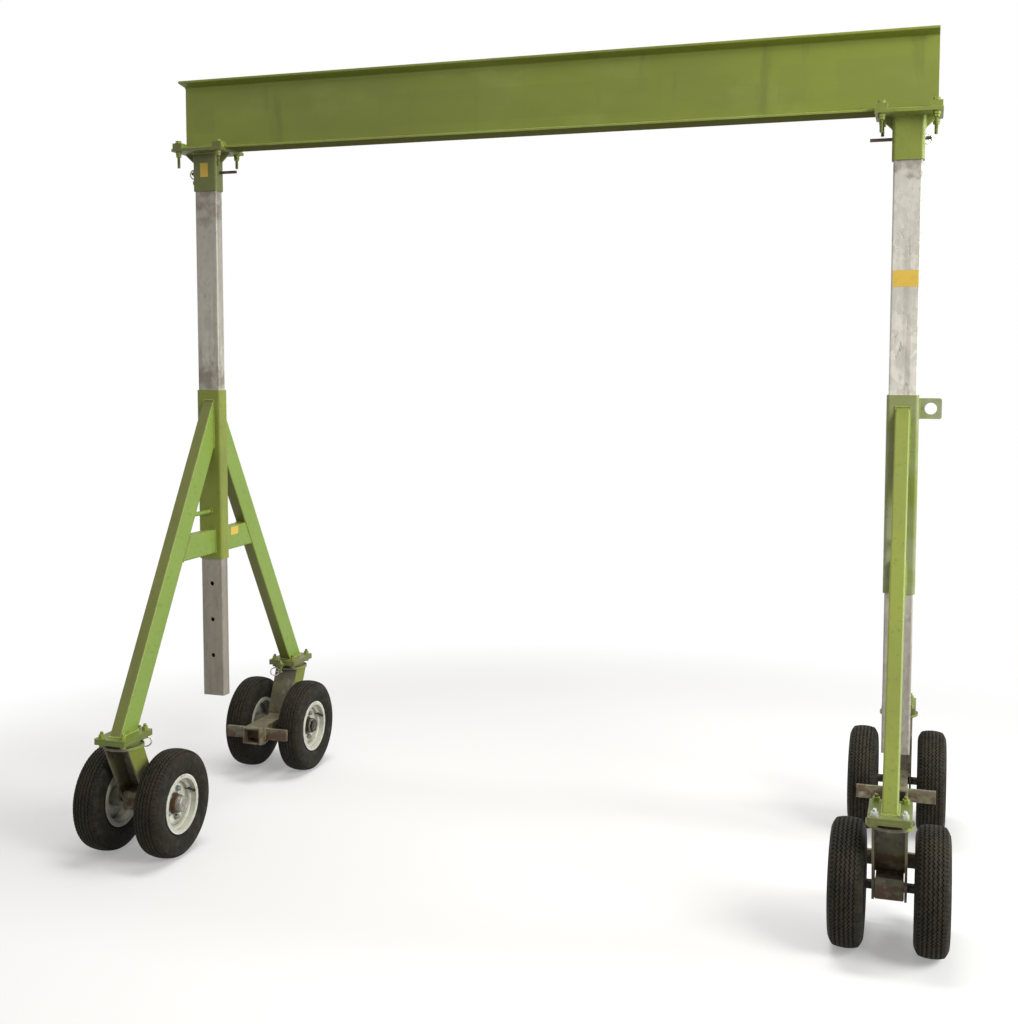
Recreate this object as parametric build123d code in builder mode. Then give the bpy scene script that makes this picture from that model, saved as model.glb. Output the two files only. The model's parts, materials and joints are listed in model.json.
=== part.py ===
from build123d import *
import os
from math import asin, atan2, cos, hypot, sin

# Portable gantry crane, in millimetres, +Z up.
# The origin lies on the floor under the middle of the beam, and the beam runs along X.

# Beam: a rolled I section with tapered flanges
beam_length = 3000
beam_depth = 280
beam_flange_width = 122
beam_flange_thickness = 13.7
beam_flange_slope = 1 / 6
beam_web_thickness = 8.5
beam_root_radius = 10.5
beam_toe_radius = 4
beam_underside = 2790
corner_tolerance = 0.01

# End frames: a mast that slides in a sleeve, with two splayed legs
mast_inset = 98
mast_width = 100
mast_thickness = 50
mast_wall = 5
mast_corner_radius = 7
mast_bottom = 487
telescope_gap = 1
sleeve_wall = 5
sleeve_bottom = 1077
sleeve_length = 716
leg_width = 50
leg_depth = 100
leg_wall = 4
leg_corner_radius = 6
leg_top_below_sleeve_top = 42
leg_bottom = 500
brace_height = 100
brace_above_sleeve_bottom = 25

# Pins that set the height and hold the beam
height_hole_pitch = 155
height_hole_count = 5
height_pin_level = 1280
height_pin_diameter = 18
height_pin_handle = 145
height_pin_tail = 30
head_pin_diameter = 12
head_pin_handle = 76
head_pin_tail = 20
pin_hole_clearance = 0.25

# Heads: a plate under the beam on a socket over the mast
head_plate_length = 230
head_plate_width = 190
head_plate_thickness = 12
socket_length = 156
head_pin_below_plate = 80
gusset_thickness = 8
gusset_reach = 50
gusset_drop = 46

# Clips that hook over the beam's lower flange
clip_length = 42
clip_spacing = 184
clip_lip = 16
clip_heel = 28
clip_thickness = 14
clip_gap = 0.5
clip_bolt_hole = 13
clip_bolt_from_flange = 15

# Tie lug on the right sleeve
lug_reach = 77
lug_height = 74
lug_thickness = 12
lug_below_sleeve_top = 11
lug_hole_diameter = 42
lug_hole_reach = 40
lug_corner_radius = 8

# Foot plates and the fixed half of the castors
castor_centre_y = 688
plate_width = 135
plate_length = 190
plate_corner_radius = 8
foot_plate_thickness = 12
castor_plate_thickness = 10
castor_bolt_spacing_x = 92
castor_bolt_spacing_y = 146
castor_bolt_hole = 14
race_diameter = 122
race_height = 16
kingpin_diameter = 26
kingpin_head_diameter = 44
kingpin_head_height = 16
bearing_gap = 0.5
running_clearance = 0.05

# Swivel lock in an ear on the trailing edge of each castor plate
lock_ear_width = 34
lock_ear_reach = 24
lock_pin_diameter = 12
lock_collar_diameter = 22
lock_collar_height = 8
lock_pin_above_plate = 16
lock_pin_below_plate = 34

# Turning half of the castors
turntable_diameter = 152
turntable_thickness = 10
trail = 115
fork_width = 110
fork_wall = 8
fork_lead = 52
fork_depth = 97
fork_toe = 48
fork_heel = 38
fork_below_axle = 35.5
fork_corner_radius = 14
arm_width = 86
arm_height = 72
arm_wall = 6
arm_below_axle = 25.5
arm_start = 60
crossbar_length = 300
crossbar_height = 50
crossbar_thickness = 16
crossbar_inset = 50
crossbar_gap = 6.5

# Wheels: a pneumatic tyre on a pressed rim with a hub, two on each castor axle
tyre_diameter = 415
tyre_width = 112
tyre_bead_width = 78
tyre_tread_width = 82
tyre_shoulder_drop = 7
tyre_widest_share = 0.53
tyre_groove_depth = 6
tyre_groove_width = 4
tyre_groove_spacing = 18
tyre_groove_count = 4
tyre_fit = 0.3
wheel_spacing = 266
rim_seat_diameter = 203
rim_flange_height = 12.5
rim_width = 92
rim_thickness = 3.5
rim_well_drop = 13.5
rim_well_width = 34
nave_thickness = 5
nave_offset = 4
hub_diameter = 68
hub_inner_length = 44
hub_outer_length = 34
hub_flange_diameter = 142
hub_flange_thickness = 8
axle_diameter = 31
axle_end_diameter = 25
axle_hole_clearance = 0.25
hub_end_gap = 0.5
axle_nut_width = 50
axle_nut_thickness = 13
axle_thread_end = 3

# Places that follow from the sizes
frame_x = beam_length / 2 - mast_inset
plate_underside = beam_underside - head_plate_thickness
socket_bottom = plate_underside - socket_length
head_pin_level = plate_underside - head_pin_below_plate
sleeve_width = mast_width + 2 * (telescope_gap + sleeve_wall)
sleeve_thickness = mast_thickness + 2 * (telescope_gap + sleeve_wall)
sleeve_corner_radius = mast_corner_radius + telescope_gap + sleeve_wall
sleeve_top = sleeve_bottom + sleeve_length
leg_top = sleeve_top - leg_top_below_sleeve_top
foot_plate_bottom = leg_bottom - foot_plate_thickness
castor_plate_bottom = foot_plate_bottom - castor_plate_thickness
race_bottom = castor_plate_bottom - race_height
turntable_top = race_bottom - bearing_gap
turntable_bottom = turntable_top - turntable_thickness
axle_height = tyre_diameter / 2
fork_bottom = axle_height - fork_below_axle
arm_bottom = axle_height - arm_below_axle
arm_top = arm_bottom + arm_height
crossbar_back = trail + tyre_diameter / 2 + crossbar_gap + crossbar_thickness
arm_reach = crossbar_back + crossbar_inset
clip_bolt_y = beam_flange_width / 2 + clip_bolt_from_flange
lock_pin_y = plate_length / 2 + lock_ear_reach / 2

# A leg's outer face meets the sleeve at leg_top, and its foot is centred over the castor
leg_run = castor_centre_y - sleeve_thickness / 2
leg_rise = leg_top - leg_bottom
leg_angle = atan2(leg_run, leg_rise) + asin(leg_depth / 2 / hypot(leg_run, leg_rise))
leg_foot_depth = leg_depth / cos(leg_angle)

# The two end frames, and the castors by corner: the back ones trail the other way
frame_places = {"left": Location((-frame_x, 0, 0)), "right": Location((frame_x, 0, 0))}
castor_places = {
    "front_left": Location((-frame_x, -castor_centre_y, 0)),
    "front_right": Location((frame_x, -castor_centre_y, 0)),
    "back_left": Location((-frame_x, castor_centre_y, 0), (0, 0, 180)),
    "back_right": Location((frame_x, castor_centre_y, 0), (0, 0, 180)),
}

os.makedirs("parts", exist_ok=True)


def save(piece, name):
    """Label a finished piece and write its file."""
    piece.label = name
    export_step(piece, f"parts/{name}.step")


def tube_section(width, depth, wall, corner_radius):
    """Draw a rectangular tube's section in the sketch that is open."""
    inner_radius = max(corner_radius - wall, corner_radius / 4)
    RectangleRounded(width, depth, corner_radius)
    RectangleRounded(width - 2 * wall, depth - 2 * wall, inner_radius, mode=Mode.SUBTRACT)


def flange_top(y):
    """Thickness of the beam's tapered flange at a distance y from the web's middle."""
    return beam_flange_thickness + (beam_flange_width / 4 - y) * beam_flange_slope


def make_beam():
    """The I section is drawn as one quarter, mirrored twice and run along X."""
    tip = beam_flange_width / 2
    web = beam_web_thickness / 2
    outside = beam_depth / 2
    tip_level = outside - flange_top(tip)
    root_level = outside - flange_top(web)
    end = Plane((-beam_length / 2, 0, beam_underside + outside), x_dir=(0, 1, 0), z_dir=(1, 0, 0))
    with BuildPart() as beam:
        with BuildSketch(end) as section:
            with BuildLine():
                Polyline(
                    (0, 0), (web, 0), (web, root_level), (tip, tip_level), (tip, outside),
                    (0, outside), close=True,
                )
            make_face()
            mirror(about=Plane.XZ)
            mirror(about=Plane.YZ)
            fillet(
                section.vertices().filter_by(lambda corner: abs(abs(corner.X) - web) < corner_tolerance),
                beam_root_radius,
            )
            fillet(
                section.vertices().filter_by(
                    lambda corner: abs(abs(corner.X) - tip) < corner_tolerance
                    and abs(abs(corner.Y) - tip_level) < corner_tolerance
                ),
                beam_toe_radius,
            )
        extrude(amount=beam_length)
    return beam.part


def make_head():
    """Plate, socket and gussets welded into one piece, with the mast's axis as its own."""
    with BuildPart() as head:
        with BuildSketch(Plane.XY.offset(plate_underside)):
            Rectangle(head_plate_length, head_plate_width)
            with GridLocations(clip_spacing, 2 * clip_bolt_y, 2, 2):
                Circle(clip_bolt_hole / 2, mode=Mode.SUBTRACT)
        extrude(amount=head_plate_thickness)
        with BuildSketch(Plane.XY.offset(socket_bottom)):
            tube_section(sleeve_width, sleeve_thickness, sleeve_wall, sleeve_corner_radius)
        extrude(amount=socket_length)
        with BuildSketch(Plane.XZ):
            with BuildLine():
                Polyline(
                    (sleeve_width / 2 - sleeve_wall / 2, plate_underside),
                    (sleeve_width / 2 + gusset_reach, plate_underside),
                    (sleeve_width / 2, plate_underside - gusset_drop),
                    (sleeve_width / 2 - sleeve_wall / 2, plate_underside - gusset_drop),
                    close=True,
                )
            make_face()
            mirror(about=Plane.YZ)
        extrude(amount=gusset_thickness / 2, both=True)
        with BuildSketch(Plane.YZ):
            with Locations((0, head_pin_level)):
                Circle(head_pin_diameter / 2 + pin_hole_clearance)
        extrude(amount=sleeve_width, both=True, mode=Mode.SUBTRACT)
    return head.part


def make_head_clips():
    """Eight clips: each stands on a head plate and its lip hooks over the lower flange."""
    tip = beam_flange_width / 2
    lip = tip - clip_lip
    top = flange_top(tip) + clip_thickness
    with BuildPart() as clips:
        for frame in (-frame_x, frame_x):
            for side in (-clip_spacing / 2, clip_spacing / 2):
                near_end = (frame + side - clip_length / 2, 0, beam_underside)
                with BuildSketch(Plane(near_end, x_dir=(0, 1, 0), z_dir=(1, 0, 0))):
                    with BuildLine():
                        Polyline(
                            (tip + clip_gap, 0), (tip + clip_heel, 0), (tip + clip_heel, top),
                            (lip, top), (lip, flange_top(lip)), (tip + clip_gap, flange_top(tip)),
                            close=True,
                        )
                    make_face()
                    mirror(about=Plane.YZ)
                extrude(amount=clip_length)
        with BuildSketch(Plane.XY.offset(beam_underside)):
            with GridLocations(2 * frame_x, 0, 2, 1):
                with GridLocations(clip_spacing, 2 * clip_bolt_y, 2, 2):
                    Circle(clip_bolt_hole / 2)
        extrude(amount=top, mode=Mode.SUBTRACT)
    return clips.part


def make_mast():
    """Rectangular tube with the row of height holes across it and the head pin's hole along X."""
    with BuildPart() as mast:
        with BuildSketch(Plane.XY.offset(mast_bottom)):
            tube_section(mast_width, mast_thickness, mast_wall, mast_corner_radius)
        extrude(amount=plate_underside - mast_bottom)
        with BuildSketch(Plane.XZ):
            for step in range(height_hole_count):
                with Locations((0, height_pin_level - step * height_hole_pitch)):
                    Circle(height_pin_diameter / 2 + pin_hole_clearance)
        extrude(amount=mast_thickness, both=True, mode=Mode.SUBTRACT)
        with BuildSketch(Plane.YZ):
            with Locations((0, head_pin_level)):
                Circle(head_pin_diameter / 2 + pin_hole_clearance)
        extrude(amount=mast_width, both=True, mode=Mode.SUBTRACT)
    return mast.part


def make_sleeve():
    """Outer tube that the mast slides in, with one pair of holes for the height pin."""
    with BuildPart() as sleeve:
        with BuildSketch(Plane.XY.offset(sleeve_bottom)):
            tube_section(sleeve_width, sleeve_thickness, sleeve_wall, sleeve_corner_radius)
        extrude(amount=sleeve_length)
        with BuildSketch(Plane.XZ):
            with Locations((0, height_pin_level)):
                Circle(height_pin_diameter / 2 + pin_hole_clearance)
        extrude(amount=sleeve_thickness, both=True, mode=Mode.SUBTRACT)
    return sleeve.part


def make_leg():
    """Front leg: a splayed tube cut flat on the foot plate and upright on the sleeve."""
    foot = (0, -castor_centre_y, leg_bottom)
    along = (0, sin(leg_angle), cos(leg_angle))
    with BuildPart() as leg:
        with BuildSketch(Plane(foot, x_dir=(1, 0, 0), z_dir=along)):
            tube_section(leg_width, leg_depth, leg_wall, leg_corner_radius)
        extrude(amount=leg_rise / cos(leg_angle) + leg_depth, both=True)
        split(bisect_by=Plane.XY.offset(leg_bottom), keep=Keep.TOP)
        split(bisect_by=Plane.XZ.offset(sleeve_thickness / 2), keep=Keep.TOP)
    return leg.part


def make_brace():
    """Front brace: a level tube from the sleeve to the slanted inner face of the leg."""
    middle = sleeve_bottom + brace_above_sleeve_bottom + brace_height / 2
    inner_foot = (0, leg_foot_depth / 2 - castor_centre_y, leg_bottom)
    inward = (0, cos(leg_angle), -sin(leg_angle))
    with BuildPart() as brace:
        with BuildSketch(Plane.XZ.offset(sleeve_thickness / 2)):
            with Locations((0, middle)):
                tube_section(leg_width, brace_height, leg_wall, leg_corner_radius)
        extrude(amount=castor_centre_y)
        split(bisect_by=Plane(inner_foot, x_dir=(1, 0, 0), z_dir=inward), keep=Keep.TOP)
    return brace.part


def make_lug():
    """Plate with a round eye on the outer narrow face of the right sleeve."""
    middle_level = sleeve_top - lug_below_sleeve_top - lug_height / 2
    sleeve_face = frame_x + sleeve_width / 2
    with BuildPart() as lug:
        with BuildSketch(Plane.XZ) as outline:
            with Locations((sleeve_face + lug_reach / 2, middle_level)):
                Rectangle(lug_reach, lug_height)
            fillet(outline.vertices().sort_by(Axis.X)[-2:], lug_corner_radius)
            with Locations((sleeve_face + lug_hole_reach, middle_level)):
                Circle(lug_hole_diameter / 2, mode=Mode.SUBTRACT)
        extrude(amount=lug_thickness / 2, both=True)
    return lug.part


def make_height_pins():
    """A pin through each sleeve and mast, with its long handle end towards the front."""
    reach = sleeve_thickness / 2
    with BuildPart() as pins:
        with BuildSketch(Plane.XZ.offset(-reach - height_pin_tail)):
            with Locations((-frame_x, height_pin_level), (frame_x, height_pin_level)):
                Circle(height_pin_diameter / 2)
        extrude(amount=height_pin_tail + 2 * reach + height_pin_handle)
    return pins.part


def make_head_pins():
    """A pin through each head socket and mast top, with its long end under the beam."""
    reach = sleeve_width / 2
    with BuildPart() as pins:
        for side in (-1, 1):
            outer_end = Plane(
                (side * (frame_x + reach + head_pin_tail), 0, head_pin_level),
                x_dir=(0, 1, 0), z_dir=(-side, 0, 0),
            )
            with BuildSketch(outer_end):
                Circle(head_pin_diameter / 2)
            extrude(amount=head_pin_tail + 2 * reach + head_pin_handle)
    return pins.part


def plate_with_bolt_holes():
    """Draw a foot plate's outline with its four bolt holes in the sketch that is open."""
    RectangleRounded(plate_width, plate_length, plate_corner_radius)
    with GridLocations(castor_bolt_spacing_x, castor_bolt_spacing_y, 2, 2):
        Circle(castor_bolt_hole / 2, mode=Mode.SUBTRACT)


def make_foot_plate():
    """Plate welded under a leg, with the castor bolted to it."""
    with BuildPart() as plate:
        with BuildSketch(Plane.XY.offset(foot_plate_bottom)):
            plate_with_bolt_holes()
        extrude(amount=foot_plate_thickness)
    return plate.part


def make_castor_plate():
    """Fixed plate of a castor with its ball race, and the kingpin that carries the fork."""
    kingpin_length = race_height + bearing_gap + turntable_thickness + bearing_gap
    with BuildPart() as plate:
        with BuildSketch(Plane.XY.offset(castor_plate_bottom)):
            plate_with_bolt_holes()
            with Locations((0, lock_pin_y)):
                Rectangle(lock_ear_width, lock_ear_reach)
                Circle(lock_pin_diameter / 2 + pin_hole_clearance, mode=Mode.SUBTRACT)
        extrude(amount=castor_plate_thickness)
        with BuildSketch(Plane.XY.offset(race_bottom)):
            Circle(race_diameter / 2)
        extrude(amount=race_height)
        with BuildSketch(Plane.XY.offset(castor_plate_bottom)):
            Circle(kingpin_diameter / 2)
        extrude(amount=-kingpin_length)
        with BuildSketch(Plane.XY.offset(castor_plate_bottom - kingpin_length)):
            Circle(kingpin_head_diameter / 2)
        extrude(amount=-kingpin_head_height)
    return plate.part


def make_swivel_lock():
    """Upright locking pin in the ear, with a collar above it and one below."""
    with BuildPart() as lock:
        with BuildSketch(Plane.XY.offset(castor_plate_bottom - lock_pin_below_plate)):
            with Locations((0, lock_pin_y)):
                Circle(lock_pin_diameter / 2)
        extrude(amount=lock_pin_below_plate + castor_plate_thickness + lock_pin_above_plate)
        for bottom in (foot_plate_bottom, castor_plate_bottom - lock_collar_height):
            with BuildSketch(Plane.XY.offset(bottom)):
                with Locations((0, lock_pin_y)):
                    Circle(lock_collar_diameter / 2)
            extrude(amount=lock_collar_height)
    return lock.part


def make_fork():
    """Turntable disc on a folded channel that leans back to the axle, open at its front."""
    top = fork_depth - fork_lead
    toe = trail - fork_toe
    heel = trail + fork_heel
    lean = (heel - top) / (turntable_bottom - axle_height)
    web_depth = fork_wall * hypot(1, lean)
    web_foot = top + (turntable_bottom - arm_top) * lean - web_depth
    ahead = -fork_lead - fork_wall
    behind = heel + fork_wall
    below = fork_bottom - fork_wall
    with BuildPart() as fork:
        with BuildSketch(Plane.YZ) as cheek:
            with BuildLine():
                Polyline(
                    (-fork_lead, turntable_bottom), (top, turntable_bottom), (heel, axle_height),
                    (heel, fork_bottom), (toe, fork_bottom), (toe, axle_height), close=True,
                )
            make_face()
            fillet(cheek.vertices().group_by(Axis.Y)[0], fork_corner_radius)
        extrude(amount=fork_width / 2, both=True)
        with BuildSketch(Plane.YZ):
            with BuildLine():
                Polyline(
                    (ahead, turntable_bottom), (top - web_depth, turntable_bottom),
                    (web_foot, arm_top), (behind, arm_top), (behind, below), (ahead, below),
                    close=True,
                )
            make_face()
        extrude(amount=fork_width / 2 - fork_wall, both=True, mode=Mode.SUBTRACT)
        with BuildSketch(Plane.XY.offset(turntable_bottom)):
            Circle(turntable_diameter / 2)
        extrude(amount=turntable_thickness)
        with BuildSketch(Plane.XY.offset(turntable_bottom)):
            Circle(kingpin_diameter / 2 + running_clearance)
        extrude(amount=turntable_thickness, mode=Mode.SUBTRACT)
        with BuildSketch(Plane.YZ):
            with Locations((trail, axle_height)):
                Circle(axle_diameter / 2 + axle_hole_clearance)
        extrude(amount=fork_width, both=True, mode=Mode.SUBTRACT)
    return fork.part


def make_arm():
    """Square tube from between the cheeks to the crossbar that stands behind the tyres."""
    middle = arm_bottom + arm_height / 2
    with BuildPart() as arm:
        with BuildSketch(Plane.XZ.offset(-arm_start)):
            with Locations((0, middle)):
                Rectangle(arm_width, arm_height)
                Rectangle(arm_width - 2 * arm_wall, arm_height - 2 * arm_wall, mode=Mode.SUBTRACT)
        extrude(amount=-(arm_reach - arm_start))
        with BuildSketch(Plane.YZ):
            with Locations((trail, axle_height)):
                Circle(axle_diameter / 2 + axle_hole_clearance)
        extrude(amount=arm_width, both=True, mode=Mode.SUBTRACT)
        with BuildSketch(Plane.XZ.offset(-crossbar_back)):
            with Locations((0, middle)):
                Rectangle(crossbar_length, crossbar_height)
        extrude(amount=crossbar_thickness)
    return arm.part


def make_axle():
    """Stepped shaft across the fork, with a nut outside each hub."""
    shoulder = wheel_spacing / 2 - hub_inner_length - hub_end_gap
    nut_start = wheel_spacing / 2 + hub_outer_length + hub_end_gap
    end = nut_start + axle_nut_thickness + axle_thread_end
    with BuildPart() as axle:
        with BuildSketch(Plane.YZ):
            with Locations((trail, axle_height)):
                Circle(axle_end_diameter / 2)
        extrude(amount=end, both=True)
        with BuildSketch(Plane.YZ):
            with Locations((trail, axle_height)):
                Circle(axle_diameter / 2)
        extrude(amount=shoulder, both=True)
        for side in (1, -1):
            with BuildSketch(Plane.YZ.offset(side * nut_start)):
                with Locations((trail, axle_height)):
                    RegularPolygon(axle_nut_width / 2, 6, major_radius=False)
            extrude(amount=side * axle_nut_thickness)
    return axle.part


def make_tyre():
    """Ribbed tyre, turned about X with its middle at the origin."""
    bead = tyre_bead_width / 2
    bore = rim_seat_diameter / 2 + tyre_fit
    over_flange = rim_seat_diameter / 2 + rim_flange_height + tyre_fit
    crown = tyre_diameter / 2
    widest = bore + (crown - bore) * tyre_widest_share
    tread = tyre_tread_width / 2
    shoulder = crown - tyre_shoulder_drop
    with BuildPart() as tyre:
        with BuildSketch() as half:
            with BuildLine():
                Line((0, bore), (bead, bore))
                Line((bead, bore), (bead, over_flange))
                ThreePointArc((bead, over_flange), (tyre_width / 2, widest), (tread, shoulder))
                TangentArc((0, crown), (tread, shoulder), tangent=(1, 0))
                Line((0, crown), (0, bore))
            make_face()
            mirror(about=Plane.YZ)
            with Locations((0, crown)):
                with GridLocations(tyre_groove_spacing, 0, tyre_groove_count, 1):
                    Rectangle(tyre_groove_width, 2 * tyre_groove_depth, mode=Mode.SUBTRACT)
        revolve(axis=Axis.X)
    return tyre.part


def make_wheel():
    """Pressed rim, nave and hub, turned about X, with the rim's middle at the origin."""
    half = rim_width / 2
    seat = rim_seat_diameter / 2
    lip = seat + rim_flange_height
    well = seat - rim_well_drop
    floor = rim_well_width / 2
    wall = rim_thickness
    with BuildPart() as wheel:
        with BuildSketch():
            with BuildLine():
                Polyline(
                    (0, well), (floor, well), (floor + wall, seat), (half - wall, seat),
                    (half - wall, lip), (half, lip), (half, seat - wall),
                    (floor + 2 * wall, seat - wall), (floor + wall, well - wall), (0, well - wall),
                    close=True,
                )
            make_face()
            mirror(about=Plane.YZ)
            with Locations((nave_offset, well / 2)):
                Rectangle(nave_thickness, well - wall)
            with Locations((nave_offset - (nave_thickness + hub_flange_thickness) / 2,
                            hub_flange_diameter / 4)):
                Rectangle(hub_flange_thickness, hub_flange_diameter / 2)
            with Locations(((hub_outer_length - hub_inner_length) / 2, hub_diameter / 4)):
                Rectangle(hub_outer_length + hub_inner_length, hub_diameter / 2)
            with Locations((0, 0)):
                Rectangle(
                    2 * rim_width, axle_end_diameter + 2 * running_clearance, mode=Mode.SUBTRACT
                )
        revolve(axis=Axis.X)
    return wheel.part


def save_all():
    """Make each piece once and write it at every place where the crane has it."""
    save(make_beam(), "beam")
    save(make_head_clips(), "head_clips")
    save(make_height_pins(), "height_pins")
    save(make_head_pins(), "head_pins")
    save(make_lug(), "tie_lug")

    head, mast, sleeve, leg, brace = make_head(), make_mast(), make_sleeve(), make_leg(), make_brace()
    for side, place in frame_places.items():
        save(head.moved(place), f"head_{side}")
        save(mast.moved(place), f"mast_{side}")
        save(sleeve.moved(place), f"sleeve_{side}")
        save(leg.moved(place), f"leg_front_{side}")
        save(leg.mirror(Plane.XZ).moved(place), f"leg_back_{side}")
        save(Compound([brace.moved(place), brace.mirror(Plane.XZ).moved(place)]), f"braces_{side}")

    for name, piece in (
        ("foot_plates", make_foot_plate()),
        ("castor_plates", make_castor_plate()),
        ("swivel_locks", make_swivel_lock()),
    ):
        save(Compound([piece.moved(place) for place in castor_places.values()]), name)

    fork, arm, axle, tyre, wheel = make_fork(), make_arm(), make_axle(), make_tyre(), make_wheel()
    for corner, place in castor_places.items():
        save(fork.moved(place), f"fork_{corner}")
        save(arm.moved(place), f"arm_{corner}")
        save(axle.moved(place), f"axle_{corner}")
        for side, sign in (("a", 1), ("b", -1)):
            hub = Location((sign * wheel_spacing / 2, trail, axle_height), (0, 0, 90 - sign * 90))
            save(tyre.moved(place * hub), f"tyre_{corner}_{side}")
            save(wheel.moved(place * hub), f"wheel_{corner}_{side}")


save_all()
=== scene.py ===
import json
import math

import bmesh
import bpy
from mathutils import Matrix, Vector


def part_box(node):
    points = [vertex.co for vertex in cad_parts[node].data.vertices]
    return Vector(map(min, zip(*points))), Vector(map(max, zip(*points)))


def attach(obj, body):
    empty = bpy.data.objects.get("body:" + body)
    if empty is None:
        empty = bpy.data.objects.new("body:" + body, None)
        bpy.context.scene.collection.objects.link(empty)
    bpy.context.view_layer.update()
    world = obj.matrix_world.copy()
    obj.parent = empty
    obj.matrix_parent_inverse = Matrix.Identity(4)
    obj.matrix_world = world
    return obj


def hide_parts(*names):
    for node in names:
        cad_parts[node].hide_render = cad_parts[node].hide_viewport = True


# Looks of a portable gantry crane: finishes for every part, tyres with their tread, fastenings,
# welds and labels, and a plain studio. Lengths are in metres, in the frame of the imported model.
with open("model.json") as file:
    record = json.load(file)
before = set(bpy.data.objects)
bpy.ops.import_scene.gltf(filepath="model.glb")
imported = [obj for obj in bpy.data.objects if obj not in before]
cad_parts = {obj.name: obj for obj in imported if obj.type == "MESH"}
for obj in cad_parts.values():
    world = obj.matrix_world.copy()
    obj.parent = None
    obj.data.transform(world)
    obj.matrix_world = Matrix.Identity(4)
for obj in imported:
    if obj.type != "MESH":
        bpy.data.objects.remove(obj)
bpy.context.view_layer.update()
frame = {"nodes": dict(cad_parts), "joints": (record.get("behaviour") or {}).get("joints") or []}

CORNERS = ("front_left", "front_right", "back_left", "back_right")
SIDES = ("left", "right")
WHEELS = ("a", "b")

# Camera
IMAGE_SIZE = (1018, 1024)
FOCAL_PIXELS = 1307.3
CENTRE_PIXEL = (510.3, 458.7)
CAMERA_PLACE = (1.4783, -4.8999, 1.9090)
CAMERA_YAW = 17.603
CAMERA_PITCH = 4.209

# Places that the details share with the solids
PLATE_THICKNESS = 0.012
FOOT_STACK = 0.022
CLIP_BOLT_X = 0.092
CLIP_BOLT_Y = 0.076
CASTOR_BOLT_X = 0.046
CASTOR_BOLT_Y = 0.073
LOCK_PIN_Y = 0.107
HEAD_PIN_LEVEL = 2.698
HEIGHT_PIN_LEVEL = 1.280
BRACE_LEVELS = (1.102, 1.202)
LEG_TOP = 1.751
LEG_BOTTOM = 0.500
LEG_HALF_WIDTH = 0.025
LEG_FOOT_HALF_DEPTH = 0.0576
LEG_FOOT_Y = 0.688
LEG_TOP_HEIGHT = 0.2016
NAVE_FACE = 0.0065
LOCK_LINCH_LEVEL = 0.450
ARM_START = 0.060
ARM_HALF_WIDTH = 0.043
FORK_HALF_WIDTH = 0.055
TURNTABLE_UNDERSIDE = 0.4515
CROSSBAR_FACES = (0.329, 0.345)
CROSSBAR_WELD_LEVELS = (0.195, 0.2425)

# Fastenings and stickers
SKIN_GAP = 0.0001
CLIP_BOLT_ACROSS = 0.0225
CLIP_BOLT_RADIUS = 0.0063
LOCK_NUT_ACROSS = 0.0205
CASTOR_BOLT_ACROSS = 0.021
CASTOR_BOLT_RADIUS = 0.0068
LUG_COUNT = 5
LUG_CIRCLE = 0.057
LUG_START = 64
LINCH_BODY = 0.0018
LINCH_WIRE = 0.0029
LINCH_STEPS = 40
STICKER_THICKNESS = 0.0004

# Surface colours, linear
PAINT_GREEN = (0.213, 0.257, 0.028, 1)
PAINT_OLIVE = (0.172, 0.206, 0.028, 1)
PAINT_PALE = (0.400, 0.460, 0.150, 1)
PAINT_DARK = (0.075, 0.085, 0.018, 1)
# Lighter, greener paint: painted light on faces towards +X
PAINT_LIT_SIDE = (0.190, 0.310, 0.045, 1)
PAINT_MUD = (0.115, 0.120, 0.034, 1)
# Darker green of the left head: painted shade
PAINT_HEAD_SHADE = (0.140, 0.170, 0.026, 1)
PAINT_LOW = (0.110, 0.150, 0.018, 1)
# Dark grime colour, also used as painted shade on faces towards the front and under the beam
PAINT_GRIME_AND_SHADE = (0.085, 0.078, 0.024, 1)
PAINT_CHALKY = (0.300, 0.320, 0.200, 1)
PRIMER = (0.330, 0.250, 0.170, 1)
RUST = (0.080, 0.042, 0.020, 1)
RUST_BROWN = (0.065, 0.038, 0.022, 1)
BARE_STEEL = (0.420, 0.400, 0.360, 1)
ZINC_PALE = (0.740, 0.710, 0.630, 1)
ZINC_WARM = (0.520, 0.490, 0.400, 1)
ZINC_BRIGHT = (0.460, 0.490, 0.440, 1)
ZINC_LIGHT = (0.450, 0.430, 0.380, 1)
ZINC_GREY = (0.340, 0.320, 0.280, 1)
ZINC_STAIN = (0.160, 0.130, 0.100, 1)
DULL_OLIVE = (0.150, 0.145, 0.075, 1)
GREY_BROWN = (0.120, 0.105, 0.070, 1)
OIL_BLACK = (0.018, 0.015, 0.012, 1)
RUBBER_BLACK = (0.009, 0.008, 0.006, 1)
RUBBER_DUST = (0.036, 0.029, 0.015, 1)
RUBBER_CREST = (0.036, 0.029, 0.019, 1)
RUBBER_SIDE = (0.030, 0.029, 0.022, 1)
VALVE_BLACK = (0.010, 0.010, 0.010, 1)
VALVE_GREY = (0.030, 0.028, 0.024, 1)
PIN_BROWN = (0.060, 0.035, 0.022, 1)
PIN_LIGHT = (0.110, 0.080, 0.055, 1)
WIRE_PALE = (0.620, 0.600, 0.520, 1)
LUG_GREY = (0.260, 0.270, 0.250, 1)
CAP_GREY = (0.300, 0.290, 0.250, 1)
CAP_BROWN = (0.035, 0.026, 0.020, 1)
CAP_LIGHT = (0.075, 0.060, 0.045, 1)
RIM_CREAM = (0.680, 0.710, 0.640, 1)
RIM_YELLOWED = (0.540, 0.550, 0.440, 1)
# Darker rim colour: painted shade on the rim's tapered inner wall
RIM_PAINTED_SHADE = (0.430, 0.410, 0.340, 1)
RIM_DIRT = (0.250, 0.220, 0.150, 1)
LABEL_YELLOW = (0.640, 0.430, 0.060, 1)
LABEL_EDGE = (0.480, 0.300, 0.080, 1)

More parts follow.
